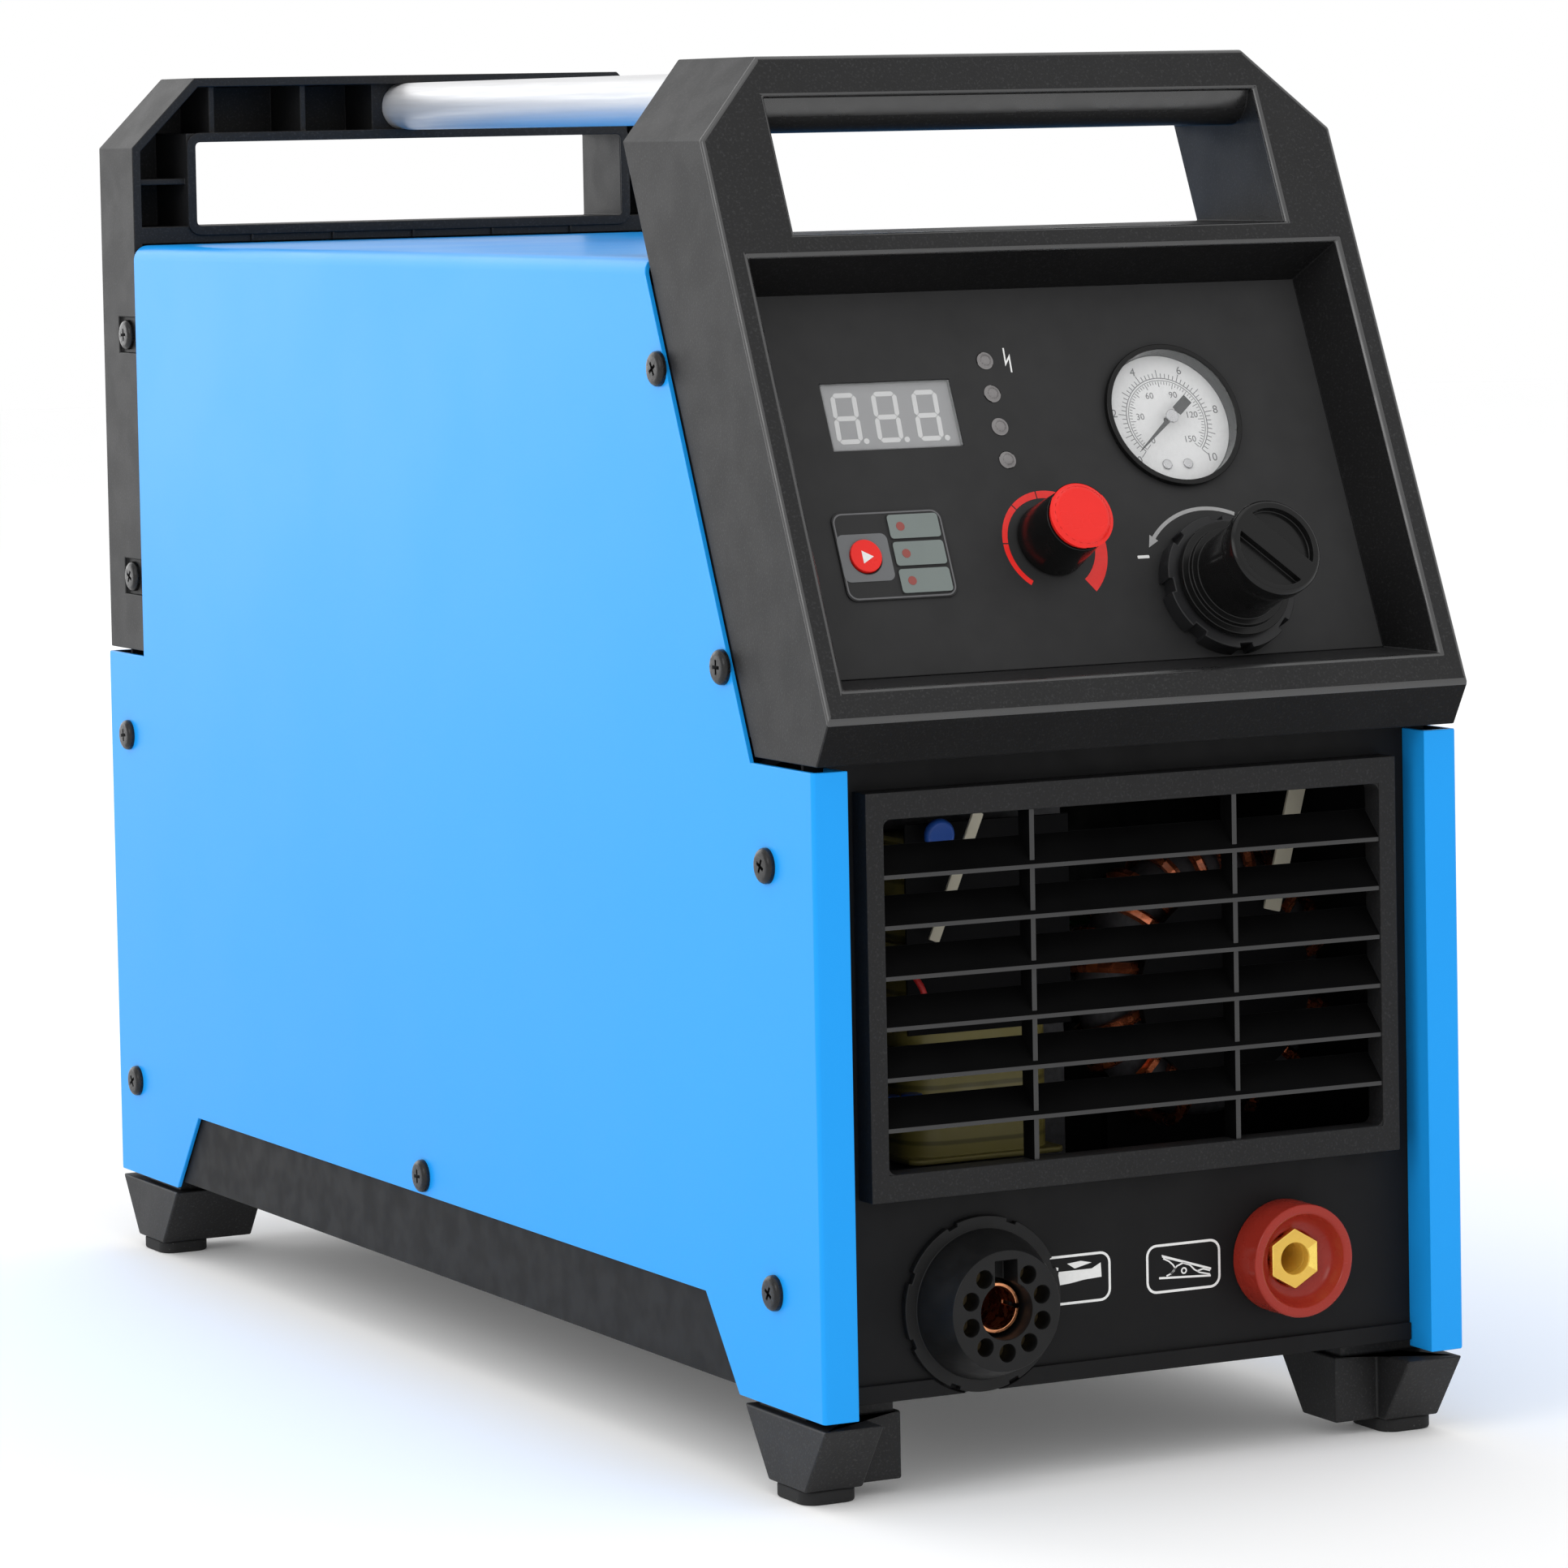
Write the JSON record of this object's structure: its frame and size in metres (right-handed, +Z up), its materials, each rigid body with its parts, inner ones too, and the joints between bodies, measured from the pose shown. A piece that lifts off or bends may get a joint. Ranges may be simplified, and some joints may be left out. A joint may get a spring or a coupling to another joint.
{
  "type": "plasma cutter unit",
  "caption": "Portable inverter power unit for plasma cutting: sheet cover, plastic end bezels, carrying tube, leaning control panel, gauge, regulator, grille, sockets and feet.",
  "frame": {"origin": "Under the middle of the bounding box, on the floor plane.", "axes": "+Z up, the control panel faces -Y, +X to the right of a person who faces the panel."},
  "size_m": [0.2094, 0.5584, 0.395],
  "materials": {
    "base_pan": "black powder coat",
    "cover_shell": "bright blue powder coat",
    "front_panel": "black powder coat",
    "rear_panel": "black powder coat",
    "front_bezel": "fine-grained black moulding",
    "rear_bezel": "fine-grained black moulding",
    "handle_tube": "satin tube",
    "foot_front_left": "black moulding",
    "foot_front_right": "black moulding",
    "foot_rear_left": "black moulding",
    "foot_rear_right": "black moulding",
    "foot_pads": "matt rubber",
    "case_screws": "black oxide",
    "grille": "fine-grained black moulding",
    "torch_socket_body": "black moulding",
    "torch_contacts": "turned brass",
    "torch_gas_tube": "turned copper alloy",
    "work_socket_insulator": "red-brown moulding",
    "work_socket_insert": "turned brass",
    "socket_nuts": "black moulding",
    "control_plate": "black printed plate",
    "control_board": "solder-masked board",
    "board_spacers": "brass spacers",
    "display_module": "black housing",
    "display_window": "clear acrylic",
    "status_leds": "diffuse lamp lenses",
    "keypad_frame": "black frame with grey windows",
    "mode_button": "red moulding",
    "current_knob": "black moulding",
    "current_knob_cap": "red cap",
    "potentiometer_body": "plated steel",
    "potentiometer_shaft": "plated steel",
    "gauge_case": "black case",
    "gauge_dial": "white dial with plain numbers",
    "gauge_needle": "black needle",
    "gauge_lens": "clear lens",
    "regulator_body": "zinc casting",
    "regulator_nut": "black moulding",
    "regulator_spindle": "plated steel",
    "regulator_knob": "black moulding",
    "air_inlet_fitting": "turned brass",
    "solenoid_valve": "metal body with a wound coil",
    "solenoid_plunger": "ground steel",
    "air_hoses": "black hose",
    "power_board": "solder-masked board",
    "heat_sink": "dark anodised extrusion",
    "power_modules": "black modules",
    "capacitors": "blue sleeved cans",
    "insulating_posts": "cream posts",
    "transformer_core": "ferrite core",
    "transformer_winding": "yellow tape over wire",
    "choke_bracket": "cream insulating plate",
    "choke_core": "powder core",
    "choke_winding": "enamelled copper wire",
    "fan_frame": "black moulding",
    "fan_rotor": "black moulding",
    "fan_guard": "plated wire",
    "power_switch_body": "black moulding",
    "power_switch_knob": "red moulding",
    "cable_gland": "black moulding"
  },
  "bodies": {
    "cabinet": {"base_pan": "base_pan", "cover_shell": "cover_shell", "front_panel": "front_panel", "rear_panel": "rear_panel", "front_bezel": "front_bezel", "rear_bezel": "rear_bezel", "handle_tube": "handle_tube", "foot_front_left": "foot_front_left", "foot_front_right": "foot_front_right", "foot_rear_left": "foot_rear_left", "foot_rear_right": "foot_rear_right", "foot_pads": "foot_pads", "case_screws": "case_screws", "grille": "grille", "torch_socket_body": "torch_socket_body", "torch_contacts": "torch_contacts", "torch_gas_tube": "torch_gas_tube", "work_socket_insulator": "work_socket_insulator", "work_socket_insert": "work_socket_insert", "socket_nuts": "socket_nuts", "control_plate": "control_plate", "control_board": "control_board", "board_spacers": "board_spacers", "display_module": "display_module", "display_window": "display_window", "status_leds": "status_leds", "keypad_frame": "keypad_frame", "potentiometer_body": "potentiometer_body", "gauge_case": "gauge_case", "gauge_dial": "gauge_dial", "gauge_lens": "gauge_lens", "regulator_body": "regulator_body", "regulator_nut": "regulator_nut", "air_inlet_fitting": "air_inlet_fitting", "solenoid_valve": "solenoid_valve", "air_hoses": "air_hoses", "power_board": "power_board", "heat_sink": "heat_sink", "power_modules": "power_modules", "capacitors": "capacitors", "insulating_posts": "insulating_posts", "transformer_core": "transformer_core", "transformer_winding": "transformer_winding", "choke_bracket": "choke_bracket", "choke_core": "choke_core", "choke_winding": "choke_winding", "fan_frame": "fan_frame", "fan_guard": "fan_guard", "power_switch_body": "power_switch_body", "cable_gland": "cable_gland"},
    "current_knob": {"current_knob": "current_knob", "current_knob_cap": "current_knob_cap", "potentiometer_shaft": "potentiometer_shaft"},
    "gauge_needle": {"gauge_needle": "gauge_needle"},
    "mode_button": {"mode_button": "mode_button"},
    "regulator_spindle": {"regulator_spindle": "regulator_spindle"},
    "regulator_knob": {"regulator_knob": "regulator_knob"},
    "power_switch_knob": {"power_switch_knob": "power_switch_knob"},
    "fan_rotor": {"fan_rotor": "fan_rotor"},
    "solenoid_plunger": {"solenoid_plunger": "solenoid_plunger"}
  },
  "joints": [
    {"name": "current_knob_turn", "type": "hinge", "parent": "cabinet", "child": "current_knob", "pos_m": [-0.0121, -0.23683, 0.25904], "axis": [0, -0.9128, 0.4083], "range_deg": [-150, 150]},
    {"name": "gauge_needle_swing", "type": "hinge", "parent": "cabinet", "child": "gauge_needle", "pos_m": [0.036, -0.22233, 0.29145], "axis": [0, 0.9128, -0.4083], "range_deg": [0, 270], "stiffness_Nm_per_rad": 0.001},
    {"name": "mode_button_press", "type": "slide", "parent": "cabinet", "child": "mode_button", "axis": [0, 0.9128, -0.4083], "range_m": [0, 0.0008], "stiffness_N_per_m": 500},
    {"name": "regulator_turn", "type": "hinge", "parent": "cabinet", "child": "regulator_spindle", "pos_m": [0.0388, -0.24373, 0.24361], "axis": [0, -0.9128, 0.4083], "range_deg": [-540, 540]},
    {"name": "regulator_knob_pull", "type": "slide", "parent": "regulator_spindle", "child": "regulator_knob", "axis": [0, -0.9128, 0.4083], "range_m": [0, 0.003]},
    {"name": "power_switch_turn", "type": "hinge", "parent": "cabinet", "child": "power_switch_knob", "pos_m": [-0.045, 0.25516, 0.296], "axis": [0, 1, 0], "range_deg": [0, 90]},
    {"name": "fan_spin", "type": "hinge", "parent": "cabinet", "child": "fan_rotor", "pos_m": [0, 0.22196, 0.115], "axis": [0, 1, 0], "continuous": true},
    {"name": "plunger_lift", "type": "slide", "parent": "cabinet", "child": "solenoid_plunger", "axis": [0, 0, 1], "range_m": [0, 0.002], "stiffness_N_per_m": 400}
  ]
}
